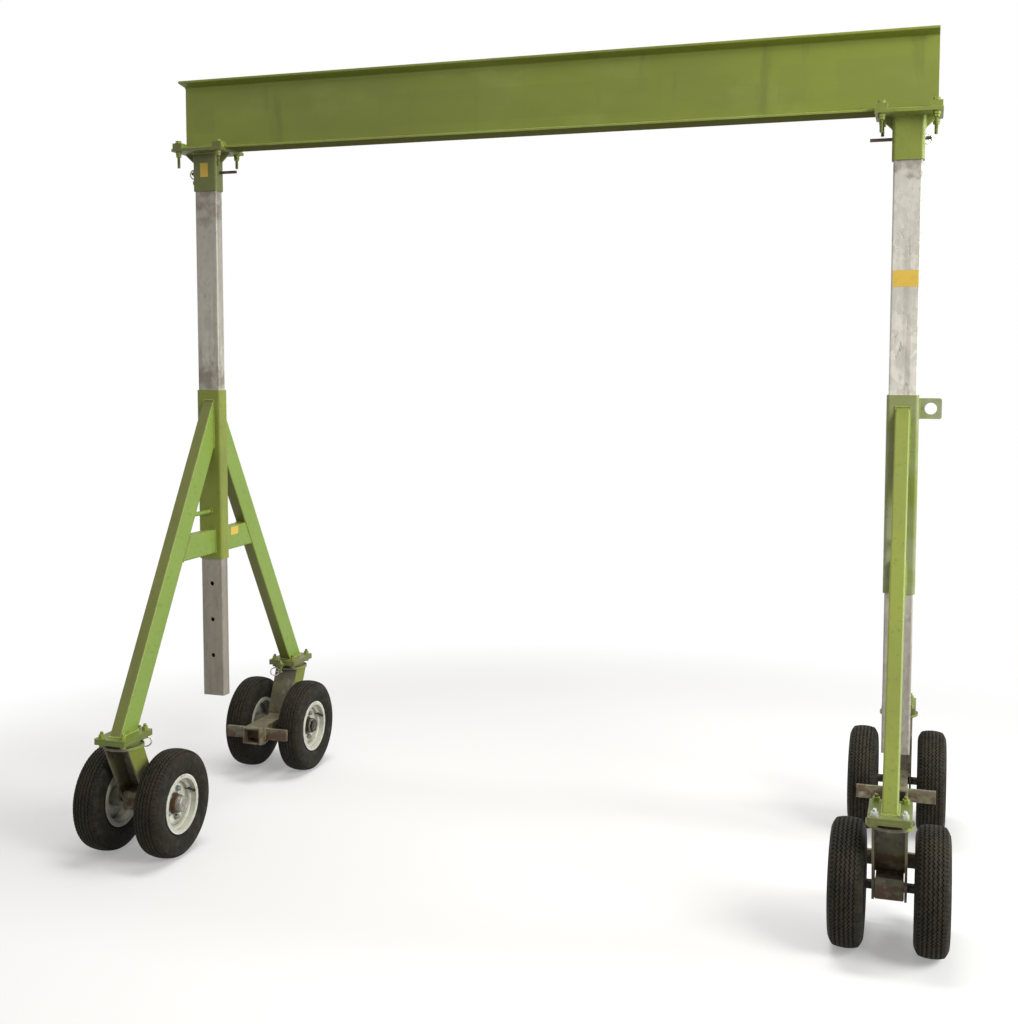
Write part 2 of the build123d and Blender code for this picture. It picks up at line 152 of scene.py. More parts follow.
# Rectangles of the beam's web that were sprayed over, as left, right, low and high
RESPRAYED = ((0.95, 1.05, 2.852, 2.983), (1.16, 1.41, 2.842, 2.99),
             (-1.45, -1.36, 2.87, 2.965), (-0.62, 0.52, 2.855, 2.975))
LOWER_FLANGE_TOP = 2.800


def add_node(tree, kind, values=(), **settings):
    """Adds a node with its settings; its first inputs take the given values or sockets."""
    node = tree.nodes.new(kind)
    for key, value in settings.items():
        setattr(node, key, value)
    for value, socket in zip(values, node.inputs):
        if isinstance(value, bpy.types.NodeSocket):
            tree.links.new(value, socket)
        else:
            socket.default_value = value
    return node


class Finish:
    """A material in the making: each method adds a node and returns its output."""

    def __init__(self, name, origin=(0, 0, 0)):
        self.material = bpy.data.materials.new(name)
        self.material.use_nodes = True
        self.tree = self.material.node_tree
        self.shader = self.tree.nodes["Principled BSDF"]
        here = self.add("ShaderNodeTexCoord")
        facing = self.add("ShaderNodeSeparateXYZ", here.outputs["Normal"])
        self.sideways, self.backward, self.upward = facing.outputs
        moved = self.add("ShaderNodeVectorMath", here.outputs["Object"], origin,
                         operation="SUBTRACT")
        self.place = moved.outputs[0]
        self.x, self.y, self.z = self.add("ShaderNodeSeparateXYZ", self.place).outputs

    def add(self, kind, *values, **settings):
        return add_node(self.tree, kind, values, **settings)

    def join(self, value, socket):
        if isinstance(value, bpy.types.NodeSocket):
            self.tree.links.new(value, socket)
        else:
            socket.default_value = value

    def noise(self, scale, detail=4.0, stretch=(1, 1, 1), seed=0.0, roughness=0.55):
        """Fractal noise between about 0.3 and 0.7, stretched along an axis by a small factor."""
        mapping = self.add("ShaderNodeMapping", self.place, (seed, seed * 1.7, seed * 0.6))
        mapping.inputs["Scale"].default_value = stretch
        texture = self.add("ShaderNodeTexNoise", mapping.outputs[0])
        texture.inputs["Scale"].default_value = scale
        texture.inputs["Detail"].default_value = detail
        texture.inputs["Roughness"].default_value = roughness
        return texture.outputs["Fac"]

    def cells(self, scale, stretch=(1, 1, 1)):
        """Patches of one random grey each, like the crystals of a zinc coat."""
        mapping = self.add("ShaderNodeMapping", self.place)
        mapping.inputs["Scale"].default_value = stretch
        texture = self.add("ShaderNodeTexVoronoi", mapping.outputs[0])
        texture.inputs["Scale"].default_value = scale
        return self.add("ShaderNodeSeparateColor", texture.outputs["Color"]).outputs[0]

    def calc(self, operation, first, second=0.0):
        return self.add("ShaderNodeMath", first, second, operation=operation).outputs[0]

    def both(self, first, second):
        return self.calc("MULTIPLY", first, second)

    def either(self, first, second):
        return self.calc("MAXIMUM", first, second)

    def fade(self, value, start, end):
        """0 before start, 1 after end, and smooth between; start may be the larger one."""
        return self.add("ShaderNodeMapRange", value, start, end,
                        interpolation_type="SMOOTHSTEP").outputs["Result"]

    def band(self, value, low, high, soft):
        """1 between low and high, with soft ends."""
        return self.both(self.fade(value, low - soft, low), self.fade(value, high + soft, high))

    def scale(self, value, low, high):
        """Turns 0 to 1 into low to high."""
        return self.add("ShaderNodeMapRange", value, 0, 1, low, high).outputs["Result"]

    def mix(self, first, second, share):
        node = self.add("ShaderNodeMix", data_type="RGBA")
        sockets = {socket.identifier: socket for socket in node.inputs}
        self.join(share, sockets["Factor_Float"])
        self.join(first, sockets["A_Color"])
        self.join(second, sockets["B_Color"])
        return next(socket for socket in node.outputs if socket.identifier == "Result_Color")

    def radius(self):
        """Distance from the X axis through the finish's origin."""
        flat = self.add("ShaderNodeCombineXYZ", 0, self.y, self.z).outputs[0]
        return self.add("ShaderNodeVectorMath", flat, operation="LENGTH").outputs["Value"]

    def edges(self, width):
        """1 on edges that stand out, 0 on flat faces."""
        bevel = self.add("ShaderNodeBevel", samples=4)
        bevel.inputs["Radius"].default_value = width
        plain = self.add("ShaderNodeNewGeometry")
        product = self.add("ShaderNodeVectorMath", bevel.outputs[0], plain.outputs["Normal"],
                           operation="DOT_PRODUCT")
        return self.fade(product.outputs["Value"], 0.985, 0.90)

    def finish(self, colour, roughness, height=None, depth=0.001, metal=0.0, round_edges=0.0):
        """Wires the shader. Sharp edges of the solid are rounded by the given radius."""
        self.join(colour, self.shader.inputs["Base Color"])
        self.join(roughness, self.shader.inputs["Roughness"])
        self.join(metal, self.shader.inputs["Metallic"])
        normal = None
        if round_edges:
            bevel = self.add("ShaderNodeBevel", samples=4)
            bevel.inputs["Radius"].default_value = round_edges
            normal = bevel.outputs[0]
        if height is not None:
            bump = self.add("ShaderNodeBump")
            bump.inputs["Strength"].default_value = 1.0
            bump.inputs["Distance"].default_value = depth
            self.join(height, bump.inputs["Height"])
            if normal is not None:
                self.join(normal, bump.inputs["Normal"])
            normal = bump.outputs[0]
        if normal is not None:
            self.join(normal, self.shader.inputs["Normal"])
        return self.material


def green_paint(name, base=PAINT_GREEN, shade=PAINT_OLIVE, wear_and_highlight=0.5, round_edges=0.0012,
                lit_side_share=0.0, front_shade_share=0.0):
    """Semi-gloss paint, sprayed over older coats, with scuffs and worn edges; the pale edges are
    partly wear and partly painted highlight.

    By the given shares, the faces towards +X are painted lighter and greener as painted light,
    and those towards the front darker as painted shade, most at the left end of the crane."""
    f = Finish(name)
    clouds = f.noise(2.2, 5)
    colour = f.mix(base, shade, f.fade(clouds, 0.38, 0.62))
    # Painted light: faces towards +X are mixed towards a lighter, greener paint
    if lit_side_share:
        colour = f.mix(colour, PAINT_LIT_SIDE, f.both(f.fade(f.sideways, 0.5, 0.9), lit_side_share))
    # Painted shade: faces towards the front are darkened, most at the left end of the crane
    if front_shade_share:
        front = f.both(f.fade(f.backward, -0.5, -0.9), f.scale(f.fade(f.x, 0.8, -1.2), 0.25, 1))
        colour = f.mix(colour, PAINT_GRIME_AND_SHADE, f.both(front, front_shade_share))
    speckle = f.noise(60, 8, seed=4)
    colour = f.mix(colour, PAINT_DARK, f.both(f.fade(speckle, 0.56, 0.74), 0.45))
    streaks = f.noise(9, 6, stretch=(1, 1, 0.12), seed=9)
    colour = f.mix(colour, PAINT_PALE, f.both(f.fade(streaks, 0.60, 0.76), 0.30))
    # Pale edges, partly worn paint and partly painted highlight; the rust chips and scuffs are wear
    rim = f.both(f.edges(0.0035), f.fade(f.noise(34, 6, seed=2), 0.42, 0.58))
    colour = f.mix(colour, PAINT_PALE, f.both(rim, wear_and_highlight))
    chips = f.both(f.edges(0.006), f.fade(f.noise(75, 5, seed=7), 0.60, 0.66))
    colour = f.mix(colour, RUST_BROWN, f.both(chips, wear_and_highlight))
    scuffs = f.fade(f.noise(16, 9, stretch=(1, 1, 0.5), seed=21, roughness=0.7), 0.665, 0.70)
    colour = f.mix(colour, PRIMER, f.both(scuffs, 0.6 * wear_and_highlight))
    height = f.calc("ADD", f.both(f.noise(150, 3, seed=5), 0.25), f.both(speckle, 0.5))
    roughness = f.scale(f.noise(12, 4, seed=3), 0.36, 0.60)
    return f.finish(colour, roughness, height, 0.0008, round_edges=round_edges)


def beam_paint():
    """The beam's web, with cloudy overspray and rectangles that were sprayed over again."""
    f = Finish("beam_paint")
    clouds = f.noise(1.6, 6, stretch=(0.5, 1, 1.3), seed=3)
    colour = f.mix(PAINT_OLIVE, PAINT_GREEN, f.fade(clouds, 0.36, 0.66))
    mist = f.noise(5.5, 7, stretch=(0.55, 1, 1), seed=12)
    colour = f.mix(colour, PAINT_PALE, f.both(f.fade(mist, 0.50, 0.78), 0.22))
    front = f.fade(f.y, 0.0, -0.004)
    ragged = f.both(f.noise(28, 4, seed=8), 0.012)
    across, up = f.calc("ADD", f.x, ragged), f.calc("ADD", f.z, ragged)
    patches = None
    for left, right, low, high in RESPRAYED:
        patch = f.both(f.band(across, left, right, 0.006), f.band(up, low, high, 0.006))
        patches = patch if patches is None else f.either(patches, patch)
    colour = f.mix(colour, PAINT_OLIVE, f.both(f.both(patches, front), 0.30))
    grime = f.fade(f.noise(7, 7, stretch=(1.5, 1, 0.25), seed=15), 0.56, 0.74)
    colour = f.mix(colour, PAINT_DARK, f.both(grime, 0.40))
    scratches = f.fade(f.noise(26, 8, stretch=(0.06, 1, 1), seed=31, roughness=0.7), 0.69, 0.72)
    colour = f.mix(colour, PRIMER, f.both(scratches, 0.45))
    # Pale edges, partly worn paint and partly painted highlight
    rim = f.both(f.edges(0.004), f.fade(f.noise(30, 6, seed=2), 0.36, 0.56))
    colour = f.mix(colour, PAINT_PALE, f.both(rim, 0.6))
    # Downward faces of the lower flange are darkened, partly grime and partly painted shade, and
    # made rougher and less glossy
    under = f.both(f.fade(f.upward, -0.5, -0.9), f.fade(f.z, LOWER_FLANGE_TOP, 2.795))
    colour = f.mix(colour, PAINT_GRIME_AND_SHADE, f.both(under, 0.75))
    height = f.calc("ADD", f.both(f.noise(120, 3, seed=5), 0.3), f.both(mist, 0.6))
    roughness = f.either(f.scale(f.noise(9, 5, seed=3), 0.34, 0.56), f.both(under, 0.95))
    f.join(f.scale(under, 0.5, 0.1), f.shader.inputs["Specular IOR Level"])
    return f.finish(colour, roughness, height, 0.0010, round_edges=0.0012)


def galvanised(name, pale, grey, stain_levels):
    """Dull zinc coat with crystals, run marks, rubbed streaks and stains below a socket."""
    f = Finish(name)
    crystal = f.cells(70, stretch=(1, 1, 0.7))
    colour = f.mix(grey, pale, f.scale(crystal, 0.20, 0.85))
    clouds = f.noise(15, 7, stretch=(1, 1, 0.35), seed=2)
    colour = f.mix(colour, grey, f.both(f.fade(clouds, 0.46, 0.60), 0.75))
    rubbed = f.noise(28, 7, stretch=(1, 1, 0.05), seed=6)
    colour = f.mix(colour, pale, f.both(f.fade(rubbed, 0.54, 0.70), 0.55))
    pits = f.fade(f.noise(48, 9, stretch=(1, 1, 0.40), seed=11, roughness=0.7), 0.57, 0.69)
    colour = f.mix(colour, ZINC_STAIN, f.both(pits, 0.55))
    runs = f.fade(f.noise(40, 6, stretch=(1, 1, 0.03), seed=27), 0.52, 0.66)
    colour = f.mix(colour, ZINC_STAIN, f.both(runs, 0.30))
    # Greyer towards the top of the mast and darker below 1.3 m
    colour = f.mix(colour, grey, f.both(f.fade(f.z, 1.9, 2.5), 0.60))
    colour = f.mix(colour, ZINC_STAIN, f.both(f.fade(f.z, 1.3, 0.9), 0.55))
    wobble = f.both(f.noise(24, 5, seed=17), 0.16)
    level = f.calc("ADD", f.z, wobble)
    for low, high in stain_levels:
        stain = f.both(f.band(level, low, high, 0.03), f.fade(f.noise(18, 6, seed=19), 0.36, 0.6))
        colour = f.mix(colour, ZINC_STAIN, f.both(stain, 0.7))
    height = f.calc("ADD", f.both(crystal, 0.15), f.both(pits, -0.5))
    roughness = f.scale(crystal, 0.42, 0.62)
    return f.finish(colour, roughness, height, 0.0008, metal=0.30, round_edges=0.001)


def castor_steel(name, rust_levels, rust_share, green_above, origin=(0, 0, 0)):
    """Dull olive paint worn down to rust, with green overspray on the outside above a level."""
    f = Finish(name, origin)
    clouds = f.noise(11, 7)
    colour = f.mix(DULL_OLIVE, GREY_BROWN, f.fade(clouds, 0.40, 0.62))
    pale = f.fade(f.noise(32, 6, stretch=(1, 1, 0.5), seed=5), 0.54, 0.72)
    colour = f.mix(colour, BARE_STEEL, f.both(pale, 0.35))
    grime = f.fade(f.noise(24, 8, seed=13, roughness=0.65), 0.52, 0.68)
    colour = f.mix(colour, OIL_BLACK, f.both(grime, 0.55))
    patch = f.noise(26, 7, seed=8)
    rusty = f.both(f.fade(patch, 0.50, 0.62), rust_share)
    for low, high in rust_levels:
        edge = f.calc("ADD", f.z, f.both(patch, 0.02))
        rusty = f.either(rusty, f.both(f.band(edge, low, high, 0.012), f.fade(patch, 0.38, 0.54)))
    colour = f.mix(colour, RUST, rusty)
    mist = f.calc("ADD", f.z, f.both(f.noise(15, 6, seed=23), 0.10))
    spray = f.fade(mist, green_above + 0.02, green_above + 0.08)
    outer = f.fade(f.both(f.x, f.sideways), 0.030, 0.045)
    colour = f.mix(colour, PAINT_GREEN, f.both(f.both(spray, outer), 0.85))
    # Edges lightened towards steel grey, partly bare worn steel and partly painted highlight
    rim = f.both(f.edges(0.004), f.fade(f.noise(40, 6, seed=2), 0.40, 0.58))
    colour = f.mix(colour, BARE_STEEL, f.both(rim, 0.35))
    height = f.calc("ADD", f.both(patch, 0.8), f.both(grime, 0.3))
    roughness = f.scale(f.noise(18, 4, seed=3), 0.48, 0.78)
    return f.finish(colour, roughness, height, 0.0012, round_edges=0.0012)


def oily_steel(name, base=OIL_BLACK, light=GREY_BROWN):
    """Dark steel with old grease and a little rust."""
    f = Finish(name)
    clouds = f.noise(40, 6)
    colour = f.mix(base, light, f.fade(clouds, 0.45, 0.68))
    colour = f.mix(colour, RUST_BROWN, f.both(f.fade(f.noise(65, 7, seed=6), 0.52, 0.64), 0.7))
    # All edges lightened towards steel grey, partly bare steel and partly painted highlight
    rim = f.both(f.edges(0.002), 0.5)
    colour = f.mix(colour, BARE_STEEL, rim)
    roughness = f.scale(f.noise(50, 4, seed=3), 0.34, 0.62)
    return f.finish(colour, roughness, clouds, 0.0008, metal=0.35, round_edges=0.0008)


def rusty_hub():
    """Machined drum gone brown with rust."""
    f = Finish("rusty_hub")
    clouds = f.noise(38, 8, roughness=0.65)
    colour = f.mix(RUST_BROWN, RUST, f.fade(clouds, 0.42, 0.60))
    colour = f.mix(colour, OIL_BLACK, f.both(f.fade(f.noise(70, 6, seed=4), 0.54, 0.66), 0.6))
    return f.finish(colour, f.scale(clouds, 0.55, 0.85), clouds, 0.0010)


def bright_steel(name, tone=BARE_STEEL, metal=0.7):
    """Zinc-plated or turned steel, a little dull and dirty."""
    f = Finish(name)
    smear = f.noise(90, 6)
    colour = f.mix(tone, ZINC_STAIN, f.both(f.fade(smear, 0.50, 0.70), 0.6))
    return f.finish(colour, f.scale(smear, 0.25, 0.55), smear, 0.0004, metal=metal)


def rim_paint(name, centre, outward):
    """Off-white rim paint, dirty in its corners, with grease and dust near the hub."""
    f = Finish(name, centre)
    radius = f.radius()
    clouds = f.noise(24, 7)
    colour = f.mix(RIM_CREAM, RIM_YELLOWED, f.fade(clouds, 0.42, 0.66))
    near_hub = f.fade(radius, 0.052, 0.036)
    corner = f.band(radius, 0.078, 0.090, 0.006)
    dirt = f.either(f.both(near_hub, 0.8), f.both(corner, 0.55))
    dirt = f.either(dirt, f.both(f.fade(f.noise(45, 8, seed=5, roughness=0.65), 0.54, 0.68), 0.7))
    colour = f.mix(colour, RIM_DIRT, dirt)
    # Painted shade: the rim's tapered inner wall, next to its bright lip, is darkened
    tapered_wall_shade = f.both(f.band(radius, 0.0975, 0.1090, 0.0015), 0.65)
    colour = f.mix(colour, RIM_PAINTED_SHADE, tapered_wall_shade)
    inner = f.fade(f.both(f.x, outward), 0.001, -0.006)
    colour = f.mix(colour, GREY_BROWN, f.both(inner, 0.35))
    specks = f.fade(f.noise(80, 8, seed=9, roughness=0.7), 0.63, 0.68)
    colour = f.mix(colour, RUST, f.both(specks, 0.7))
    rim = f.both(f.edges(0.0025), f.fade(f.noise(50, 5, seed=2), 0.50, 0.62))
    colour = f.mix(colour, RUST_BROWN, f.both(rim, 0.5))
    return f.finish(colour, f.scale(clouds, 0.35, 0.60), clouds, 0.0006, round_edges=0.0010)


def tyre_rubber():
    """Weathered rubber: dusty brown tread, greyer sidewalls with faint rings."""
    f = Finish("tyre_rubber")
    radius = f.radius()
    tread = f.fade(radius, 0.186, 0.203)
    clouds = f.noise(14, 7)
    dust = f.noise(55, 8, seed=3, roughness=0.65)
    share = f.calc("ADD", f.both(f.fade(dust, 0.40, 0.66), 0.40),
                   f.both(f.fade(clouds, 0.42, 0.64), 0.30))
    colour = f.mix(RUBBER_BLACK, RUBBER_DUST, share)
    crest = f.both(f.fade(radius, 0.2015, 0.2055), f.fade(dust, 0.35, 0.6))
    colour = f.mix(colour, RUBBER_CREST, f.both(crest, 0.35))
    side = f.both(f.fade(tread, 1.0, 0.0), f.fade(f.noise(32, 6, seed=8), 0.50, 0.66))
    colour = f.mix(colour, RUBBER_SIDE, f.both(side, 0.7))
    wave = f.calc("SINE", f.both(radius, 2200.0))
    rings = f.both(wave, f.band(radius, 0.118, 0.186, 0.004))
    height = f.calc("ADD", f.both(rings, 0.18), f.both(dust, 0.8))
    roughness = f.scale(clouds, 0.62, 0.85)
    f.shader.inputs["Specular IOR Level"].default_value = 0.18
    return f.finish(colour, roughness, height, 0.0009)


def label_vinyl():
    """Plain yellow sticker, faded and scratched at its edges."""
    f = Finish("label_vinyl")
    clouds = f.noise(30, 6)
    colour = f.mix(LABEL_YELLOW, LABEL_EDGE, f.both(f.fade(clouds, 0.52, 0.72), 0.35))
    worn = f.both(f.edges(0.003), f.fade(f.noise(90, 6, seed=3), 0.45, 0.6))
    colour = f.mix(colour, LABEL_EDGE, f.both(worn, 0.7))
    return f.finish(colour, f.scale(clouds, 0.35, 0.55), clouds, 0.0003)


def black_rubber():
    """Smooth rubber of a valve stem."""
    f = Finish("black_rubber")
    clouds = f.noise(80, 5)
    colour = f.mix(VALVE_BLACK, VALVE_GREY, f.fade(clouds, 0.45, 0.65))
    return f.finish(colour, f.scale(clouds, 0.45, 0.65), clouds, 0.0003)


def round_angles(count):
    """Angles that divide a full turn into equal steps."""
    return [2 * math.pi * i / count for i in range(count)]


def spoke(along, radius, angle):
    """Point beside the local X axis, at an angle around it."""
    return Vector((along, radius * math.cos(angle), radius * math.sin(angle)))


def rotation(degrees, axis):
    return Matrix.Rotation(math.radians(degrees), 4, axis)


def add_object(name, data):
    made = bpy.data.objects.new(name, data)
    bpy.context.scene.collection.objects.link(made)
    return made


class Shape:
    """Points and faces of one piece, gathered from several forms, each with its own finish."""

    def __init__(self):
        self.points = []
        self.faces = []
        self.finishes = []
        self.slots = []

    def slot(self, finish):
        if finish not in self.finishes:
            self.finishes.append(finish)
        return self.finishes.index(finish)

    def skin(self, rings, finish, around=True, along=False, caps=True):
        """Quads between rings of equal length, closed around them and, if asked, along them."""
        count = len(rings[0])
        first = len(self.points)
        slot = self.slot(finish)
        for ring in rings:
            self.points.extend(Vector(point) for point in ring)
        faces = []
        for i in range(len(rings) if along else len(rings) - 1):
            here, there = i * count, ((i + 1) % len(rings)) * count
            for j in range(count if around else count - 1):
                k = (j + 1) % count
                faces.append((here + j, here + k, there + k, there + j))
        if caps and not along:
            faces.append(tuple(reversed(range(count))))
            faces.append(tuple(range((len(rings) - 1) * count, len(rings) * count)))
        self.faces.extend(tuple(first + i for i in face) for face in faces)
        self.slots.extend([slot] * len(faces))

    def lathe(self, profile, place, finish, count=40, closed=False):
        """Turn a profile of (along, radius) pairs about the local X axis."""
        rings = [[place @ spoke(along, radius, a) for a in round_angles(count)]
                 for along, radius in profile]
        self.skin(rings, finish, along=closed)

    def hexagon(self, start, end, across, place, finish, count=36, chamfer=(True, True)):
        """Hexagon bar along local X whose corners are chamfered at one end or both."""
        slope = math.tan(math.radians(30))
        flat = across / 2
        angles = round_angles(count)
        sector = math.pi / 3
        reach = [flat / math.cos((a + sector / 2) % sector - sector / 2) for a in angles]
        inner = 0.96 * flat
        rings = []
        for side, cut in zip((1, -1), chamfer):
            face = start if side == 1 else end
            if cut:
                near = [(face, inner)] * count
                far = [(face + side * (r - inner) * slope, r) for r in reach]
                pair = [near, far]
            else:
                pair = [[(face, r) for r in reach]]
            rings.extend(pair if side == 1 else reversed(pair))
        self.skin([[place @ spoke(x, r, a) for (x, r), a in zip(ring, angles)] for ring in rings],
                  finish)

    def thread(self, start, end, radius, pitch, place, finish, count=20):
        """Threaded rod end as a row of V grooves with a chamfered tip."""
        turns = max(1, round(abs(end - start) / pitch))
        step = (end - start) / turns
        profile = []
        for turn in range(turns):
            taper = 0.6 * abs(step) if turn == turns - 1 else 0.0
            profile.append((start + turn * step, radius - 0.55 * abs(step)))
            profile.append((start + (turn + 0.5) * step, radius - taper))
        profile.append((end, radius - 1.1 * abs(step)))
        self.lathe(profile, place, finish, count)

    def sweep(self, path, radius, finish, count=10, closed=False):
        """Round bar along a path; radius is one number or one for each point."""
        radii = radius if hasattr(radius, "__len__") else [radius] * len(path)
        path = [Vector(point) for point in path]
        last = len(path) - 1
        across = None
        rings = []
        for i, point in enumerate(path):
            before = path[i - 1] if i or closed else point
            after = path[(i + 1) % len(path)] if i < last or closed else point
            tangent = (after - before).normalized()
            if across is None:
                across = tangent.orthogonal().normalized()
            across = (across - tangent * across.dot(tangent)).normalized()
            other = tangent.cross(across)
            rings.append([point + radii[i] * (across * math.cos(a) + other * math.sin(a))
                          for a in round_angles(count)])
        self.skin(rings, finish, along=closed)

    def weld(self, corners, finish, radius=0.0032, ripple=0.0032, closed=False):
        """Rippled bead along straight runs between corners."""
        corners = [Vector(corner) for corner in corners]
        ends = corners + corners[:1] if closed else corners
        path = []
        for start, end in zip(ends, ends[1:]):
            steps = max(2, round((end - start).length / (ripple / 2)))
            path.extend(start.lerp(end, i / steps) for i in range(steps))
        if not closed:
            path.append(ends[-1])
        radii = []
        for i in range(len(path)):
            swell = 0.10 * math.sin(i * 0.37) + 0.06 * math.sin(i * 0.11 + 1)
            radii.append(radius * (1 + swell + (0.09 if i % 2 else -0.09)))
        self.sweep(path, radii, finish, count=8, closed=closed)

    def plate(self, width, length, thickness, corner, place, finish, steps=5):
        """Flat plate with round corners in local XY, from local Z 0 up, with softened edges."""
        def outline(inset, level):
            ring = []
            for quarter in range(4):
                sx = 1 if quarter in (0, 3) else -1
                sy = 1 if quarter in (0, 1) else -1
                for i in range(steps + 1):
                    angle = math.pi / 2 * (quarter + i / steps)
                    ring.append(place @ Vector((
                        sx * (width / 2 - corner) + (corner - inset) * math.cos(angle),
                        sy * (length / 2 - corner) + (corner - inset) * math.sin(angle), level)))
            return ring
        soft = min(thickness, corner) * 0.4
        self.skin([outline(0, 0), outline(0, thickness - soft), outline(soft, thickness)], finish)

    def piece(self, name, body, slot, sharp=35.0, place=None):
        """Make the object, at a place if one is given, and let it ride on a body."""
        mesh = bpy.data.meshes.new(name)
        mesh.from_pydata(self.points, [], self.faces)
        for finish in self.finishes:
            mesh.materials.append(finish)
        mesh.polygons.foreach_set("material_index", self.slots)
        tidy = bmesh.new()
        tidy.from_mesh(mesh)
        bmesh.ops.recalc_face_normals(tidy, faces=tidy.faces)
        tidy.to_mesh(mesh)
        tidy.free()
        mesh.shade_smooth()
        mesh.set_sharp_from_angle(angle=math.radians(sharp))
        made = add_object(name, mesh)
        if place:
            made.matrix_world = place
        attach(made, body)
        return made


WASHER = 0.0026

# Where local X points up, for bolts that stand
UPRIGHT = rotation(-90, "Y")


def middle(node):
    low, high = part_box(node)
    return (low + high) / 2


def castor_place(corner):
    """Place of a castor's swivel axis; its own +Y is the way that it trails."""
    joint = next(j for j in frame["joints"] if j["name"] == f"swivel_{corner}")
    x, y, _ = joint["pos_m"]
    turn = rotation(180 if corner.startswith("back") else 0, "Z")
    return Matrix.Translation((x, y, 0)) @ turn


def wheel_place(corner, side):
    """Place of a wheel, its middle, and 1 or -1 for the side that it faces; local +X is outward."""
    centre = middle(f"tyre_{corner}_{side}")
    outward = 1 if centre.x > middle(f"fork_{corner}").x else -1
    flip = rotation(0 if outward > 0 else 180, "Z")
    return Matrix.Translation(centre) @ flip, centre, outward


def arc(start, through, end, count):
    """Points on the circle through three points, ends included."""
    (ax, ay), (bx, by), (cx, cy) = start, through, end
    d = 2 * (ax * (by - cy) + bx * (cy - ay) + cx * (ay - by))
    a2, b2, c2 = ax * ax + ay * ay, bx * bx + by * by, cx * cx + cy * cy
    ux = (a2 * (by - cy) + b2 * (cy - ay) + c2 * (ay - by)) / d
    uy = (a2 * (cx - bx) + b2 * (ax - cx) + c2 * (bx - ax)) / d
    radius = math.hypot(ax - ux, ay - uy)
    first, last = math.atan2(ay - uy, ax - ux), math.atan2(cy - uy, cx - ux)
    angles = (first + (last - first) * i / (count - 1) for i in range(count))
    return [(ux + radius * math.cos(t), uy + radius * math.sin(t)) for t in angles]


# Tyre section, as (across, radius)
TYRE_BORE = 0.1018
TYRE_BEAD = (0.039, 0.1144)
TYRE_BELLY = (0.056, 0.158)
TYRE_SHOULDER = (0.041, 0.2005)
TYRE_CROWN = 0.2075
SHOULDER_DROP = 0.007
TREAD_PERIODS = 84
GROOVE_PLACES = (-0.028, -0.014, 0.0, 0.014, 0.028)
GROOVE_HALF_WIDTH = 0.0019
GROOVE_DEPTH = 0.0048
GROOVE_LIP = 0.0004
ZIGZAG = 0.0026
LUG_DEPTH = 0.0024
RIDGES = ((0.119, 0.0009, 0.0016), (0.128, 0.0006, 0.001), (0.146, 0.0007, 0.001),
          (0.169, 0.0007, 0.0012), (0.177, 0.0011, 0.0014), (0.184, 0.0007, 0.001))

# Turned forms of the hub, as (outward, radius)
HUB_DRUM = ((0.0067, 0.0335), (0.0067, 0.0405), (0.0100, 0.0405), (0.0125, 0.0352),
            (0.0320, 0.0350), (0.0346, 0.0328), (0.0346, 0.0292), (0.0330, 0.0292),
            (0.0330, 0.0335))
DUST_CAP = ((0.0347, 0.0293), (0.0509, 0.0291), (0.0509, 0.0003), (0.0545, 0.0003),
            (0.0545, 0.0070), (0.0536, 0.0098), (0.0518, 0.0104), (0.0514, 0.0120),
            (0.0514, 0.0200), (0.0532, 0.0216), (0.0532, 0.0262), (0.0516, 0.0288),
            (0.0490, 0.0301), (0.0378, 0.0305), (0.0370, 0.0310), (0.0347, 0.0308))
VALVE_FOOT = (0.0145, 0.081, 0.036)
VALVE_TIP = (0.0475, 0.0885, 0.0245)


def crown_radius(across):
    return TYRE_CROWN - SHOULDER_DROP * (across / TYRE_SHOULDER[0]) ** 2


def tyre_half():
    """Rows of the tyre's section from its bore to the middle of its tread.

    Each row is (across, radius, zigzag share, depth of the notches between the shoulder lugs)."""
    rows = [(0.0, TYRE_BORE, 0, 0), (TYRE_BEAD[0], TYRE_BORE, 0, 0)]
    wall = arc(TYRE_BEAD, TYRE_BELLY, TYRE_SHOULDER, 26)
    for across, radius in wall[:-3]:
        ridge = sum(h * math.exp(-((radius - r) / w) ** 2) for r, h, w in RIDGES)
        rows.append((across + ridge, radius, 0, 0))
    for (across, radius), notch in zip(wall[-3:], (0.35, 1.0, 1.0)):
        rows.append((across, radius, 0, notch * LUG_DEPTH))
    rows.append((0.0365, crown_radius(0.0365), 0.5, 0))
    for place in GROOVE_PLACES[:1:-1]:
        outer, inner = place + GROOVE_HALF_WIDTH, place - GROOVE_HALF_WIDTH
        rows += [(outer + GROOVE_LIP, crown_radius(outer), 1, 0),
                 (outer, crown_radius(outer) - GROOVE_DEPTH, 1, 0),
                 (inner, crown_radius(inner) - GROOVE_DEPTH, 1, 0),
                 (inner - GROOVE_LIP, crown_radius(inner), 1, 0)]
    return rows[:-2]  # half of the middle groove lies on the other side


def tyre_mesh():
    """Tyre with five zigzag grooves and lugs along its shoulders, about local X."""
    half = tyre_half()
    rows = half + [(-x, r, z, n) for x, r, z, n in reversed(half[1:])]
    fractions = (0.0, 0.44, 0.50, 0.94)
    swings = (-1, 1, 1, -1)
    lugs = (0, 0, 1, 1)
    shape = Shape()
    rings = []
    for period in range(TREAD_PERIODS):
        for fraction, swing, lug in zip(fractions, swings, lugs):
            angle = 2 * math.pi * (period + fraction) / TREAD_PERIODS
            ring = []
            for across, radius, zigzag, notch in rows:
                r = radius - lug * notch
                x = across - math.copysign(lug * notch, across) + swing * zigzag * ZIGZAG
                ring.append(spoke(x, r, angle))
            rings.append(ring)
    shape.skin(rings, tyre_finish, along=True)
    return shape


